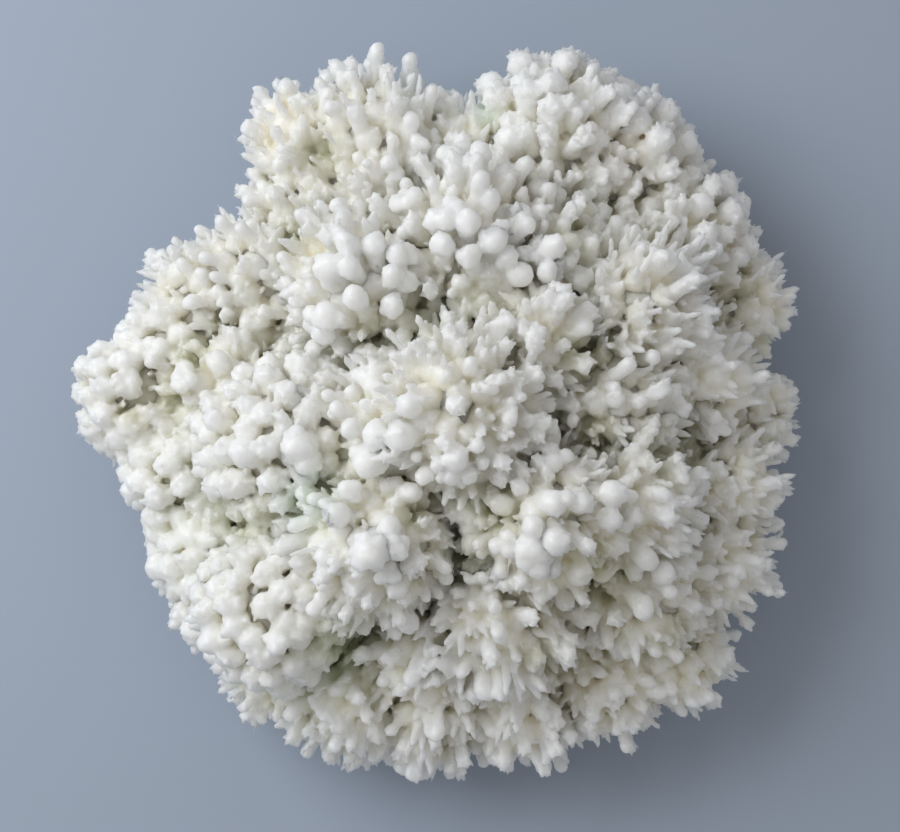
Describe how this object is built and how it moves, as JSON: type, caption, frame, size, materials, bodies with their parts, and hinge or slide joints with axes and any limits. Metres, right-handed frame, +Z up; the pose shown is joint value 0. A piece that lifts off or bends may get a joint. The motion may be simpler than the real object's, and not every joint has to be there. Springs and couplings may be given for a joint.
{
  "type": "aragonite specimen",
  "caption": "White aragonite cluster: a low lobed mound covered with blunt, knobbed and pointed crystals, cut off flat underneath to rest on a shelf.",
  "frame": {"origin": "middle of the outline as seen from above, on the flat cut that it rests on", "axes": "+Z up from the flat cut, +X the right side and +Y the far side of the cluster as pictured from above"},
  "size_m": [0.1408, 0.1417, 0.0666],
  "materials": {
    "aragonite": "satin"
  },
  "bodies": {
    "root": {"aragonite_cluster": "aragonite"}
  },
  "joints": []
}
